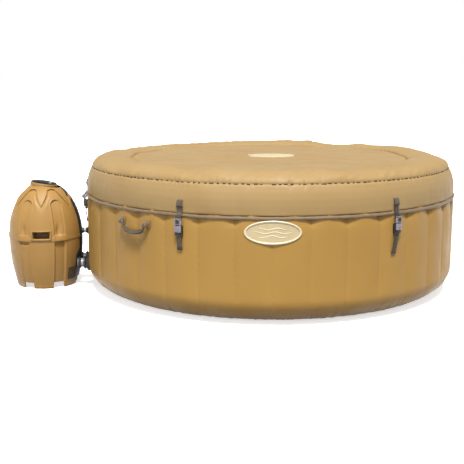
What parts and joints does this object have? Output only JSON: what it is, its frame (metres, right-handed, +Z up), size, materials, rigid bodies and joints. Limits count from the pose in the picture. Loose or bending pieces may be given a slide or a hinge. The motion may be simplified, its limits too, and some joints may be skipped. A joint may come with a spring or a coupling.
{
  "type": "inflatable hot tub",
  "caption": "Round inflatable hot tub with a strapped lift-off cover, carry handles, and a domed pump and heater unit coupled to its side.",
  "frame": {"origin": "centre of the tub's base, on the ground", "axes": "+Z up, -Y towards the badge side, the pump unit stands on the -X side"},
  "size_m": [2.4057, 1.9796, 0.695],
  "materials": {
    "pvc": "smooth laminated PVC, satin",
    "liner": "smooth pale PVC, satin",
    "lid": "leather-grain coated fabric, satin",
    "welt": "coated piping, matt",
    "webbing": "woven strap",
    "buckle": "moulded, satin",
    "black": "moulded, matt",
    "badge": "printed plate, satin",
    "pump": "moulded casing, satin",
    "grey": "moulded, satin",
    "screen": "gloss",
    "metal": "brushed",
    "paper": "pleated paper"
  },
  "bodies": {
    "tub": {"wall_outer_skin": "pvc", "wall_inner_skin": "liner", "wall_beams": "pvc", "floor_pad": "liner", "jet_ring": "pvc", "front_badge": "badge", "inflation_valve": "grey", "drain_valve": "grey", "handle_anchor_1": "welt", "handle_anchor_2": "welt", "pump_lower_shell": "pump", "pump_upper_shell": "pump", "control_panel": "black", "display_lens": "screen", "circulation_pump": "black", "heater_tube": "metal", "air_blower": "black", "cable_gland": "black", "inlet_fitting": "grey", "outlet_fitting": "grey", "air_duct": "grey", "buckle_body_1": "buckle", "buckle_body_2": "buckle", "buckle_body_3": "buckle", "buckle_body_4": "buckle", "buckle_body_5": "buckle", "buckle_body_6": "buckle"},
    "cover": {"cover_shell": "lid", "cover_welt": "welt", "cover_bladder": "liner", "cover_badge": "badge", "strap_1": "webbing", "strap_2": "webbing", "strap_3": "webbing", "strap_4": "webbing", "strap_5": "webbing", "strap_6": "webbing"},
    "inflation_cap": {"inflation_cap": "grey"},
    "drain_cap": {"drain_cap": "grey"},
    "handle_1": {"handle_grip_1": "welt"},
    "handle_2": {"handle_grip_2": "welt"},
    "inlet_nut": {"inlet_nut": "black"},
    "outlet_nut": {"outlet_nut": "black"},
    "filter": {"filter_housing": "liner", "filter_cartridge": "paper"},
    "button_heat": {"button_heat": "grey"},
    "button_bubbles": {"button_bubbles": "grey"},
    "button_filter": {"button_filter": "grey"},
    "buckle_tab_1": {"buckle_tab_1": "buckle"},
    "buckle_lock_1": {"buckle_lock_1": "black"},
    "buckle_tab_2": {"buckle_tab_2": "buckle"},
    "buckle_lock_2": {"buckle_lock_2": "black"},
    "buckle_tab_3": {"buckle_tab_3": "buckle"},
    "buckle_lock_3": {"buckle_lock_3": "black"},
    "buckle_tab_4": {"buckle_tab_4": "buckle"},
    "buckle_lock_4": {"buckle_lock_4": "black"},
    "buckle_tab_5": {"buckle_tab_5": "buckle"},
    "buckle_lock_5": {"buckle_lock_5": "black"},
    "buckle_tab_6": {"buckle_tab_6": "buckle"},
    "buckle_lock_6": {"buckle_lock_6": "black"}
  },
  "joints": [
    {"name": "cover_lift", "type": "slide", "parent": "tub", "child": "cover", "axis": [0, 0, 1], "range_m": [0, 0.35]},
    {"name": "buckle_1_release", "type": "slide", "parent": "cover", "child": "buckle_tab_1", "axis": [0, 0, 1], "range_m": [0, 0.03]},
    {"name": "buckle_1_lock", "type": "hinge", "parent": "buckle_tab_1", "child": "buckle_lock_1", "pos_m": [-0.57931, 0.82734, 0.467], "axis": [-0.5736, 0.8192, 0], "range_deg": [0, 90]},
    {"name": "buckle_2_release", "type": "slide", "parent": "cover", "child": "buckle_tab_2", "axis": [0, 0, 1], "range_m": [0, 0.03]},
    {"name": "buckle_2_lock", "type": "hinge", "parent": "buckle_tab_2", "child": "buckle_lock_2", "pos_m": [-1.00616, -0.08803, 0.467], "axis": [-0.9962, -0.0872, 0], "range_deg": [0, 90]},
    {"name": "buckle_3_release", "type": "slide", "parent": "cover", "child": "buckle_tab_3", "axis": [0, 0, 1], "range_m": [0, 0.03]},
    {"name": "buckle_3_lock", "type": "hinge", "parent": "buckle_tab_3", "child": "buckle_lock_3", "pos_m": [-0.42684, -0.91537, 0.467], "axis": [-0.4226, -0.9063, 0], "range_deg": [0, 90]},
    {"name": "buckle_4_release", "type": "slide", "parent": "cover", "child": "buckle_tab_4", "axis": [0, 0, 1], "range_m": [0, 0.03]},
    {"name": "buckle_4_lock", "type": "hinge", "parent": "buckle_tab_4", "child": "buckle_lock_4", "pos_m": [0.57931, -0.82734, 0.467], "axis": [0.5736, -0.8192, 0], "range_deg": [0, 90]},
    {"name": "buckle_5_release", "type": "slide", "parent": "cover", "child": "buckle_tab_5", "axis": [0, 0, 1], "range_m": [0, 0.03]},
    {"name": "buckle_5_lock", "type": "hinge", "parent": "buckle_tab_5", "child": "buckle_lock_5", "pos_m": [1.00616, 0.08803, 0.467], "axis": [0.9962, 0.0872, 0], "range_deg": [0, 90]},
    {"name": "buckle_6_release", "type": "slide", "parent": "cover", "child": "buckle_tab_6", "axis": [0, 0, 1], "range_m": [0, 0.03]},
    {"name": "buckle_6_lock", "type": "hinge", "parent": "buckle_tab_6", "child": "buckle_lock_6", "pos_m": [0.42684, 0.91537, 0.467], "axis": [0.4226, 0.9063, 0], "range_deg": [0, 90]},
    {"name": "handle_1_swing", "type": "hinge", "parent": "tub", "child": "handle_1", "pos_m": [-0.64279, -0.76604, 0.44], "axis": [-0.766, 0.6428, 0], "range_deg": [0, 120]},
    {"name": "handle_2_swing", "type": "hinge", "parent": "tub", "child": "handle_2", "pos_m": [0.64279, 0.76604, 0.44], "axis": [0.766, -0.6428, 0], "range_deg": [0, 120]},
    {"name": "inflation_cap_pull", "type": "slide", "parent": "tub", "child": "inflation_cap", "axis": [0.9063, 0.4226, 0], "range_m": [0, 0.03]},
    {"name": "drain_cap_pull", "type": "slide", "parent": "tub", "child": "drain_cap", "axis": [-0.9063, 0.4226, 0], "range_m": [0, 0.03]},
    {"name": "inlet_nut_turn", "type": "hinge", "parent": "tub", "child": "inlet_nut", "pos_m": [-0.99166, -0.17543, 0.12], "axis": [0.9946, 0.1034, 0], "range_deg": [0, 270]},
    {"name": "outlet_nut_turn", "type": "hinge", "parent": "tub", "child": "outlet_nut", "pos_m": [-1.00654, -0.0322, 0.12], "axis": [0.9946, 0.1034, 0], "range_deg": [0, 270]},
    {"name": "filter_pull", "type": "slide", "parent": "tub", "child": "filter", "axis": [0.9946, 0.1034, 0], "range_m": [0, 0.12]},
    {"name": "button_heat_press", "type": "slide", "parent": "tub", "child": "button_heat", "axis": [-0.1556, -0.0162, -0.9877], "range_m": [0, 0.001], "stiffness_N_per_m": 1500, "springref_m": -0.0003},
    {"name": "button_bubbles_press", "type": "slide", "parent": "tub", "child": "button_bubbles", "axis": [-0.1556, -0.0162, -0.9877], "range_m": [0, 0.001], "stiffness_N_per_m": 1500, "springref_m": -0.0003},
    {"name": "button_filter_press", "type": "slide", "parent": "tub", "child": "button_filter", "axis": [-0.1556, -0.0162, -0.9877], "range_m": [0, 0.001], "stiffness_N_per_m": 1500, "springref_m": -0.0003}
  ]
}
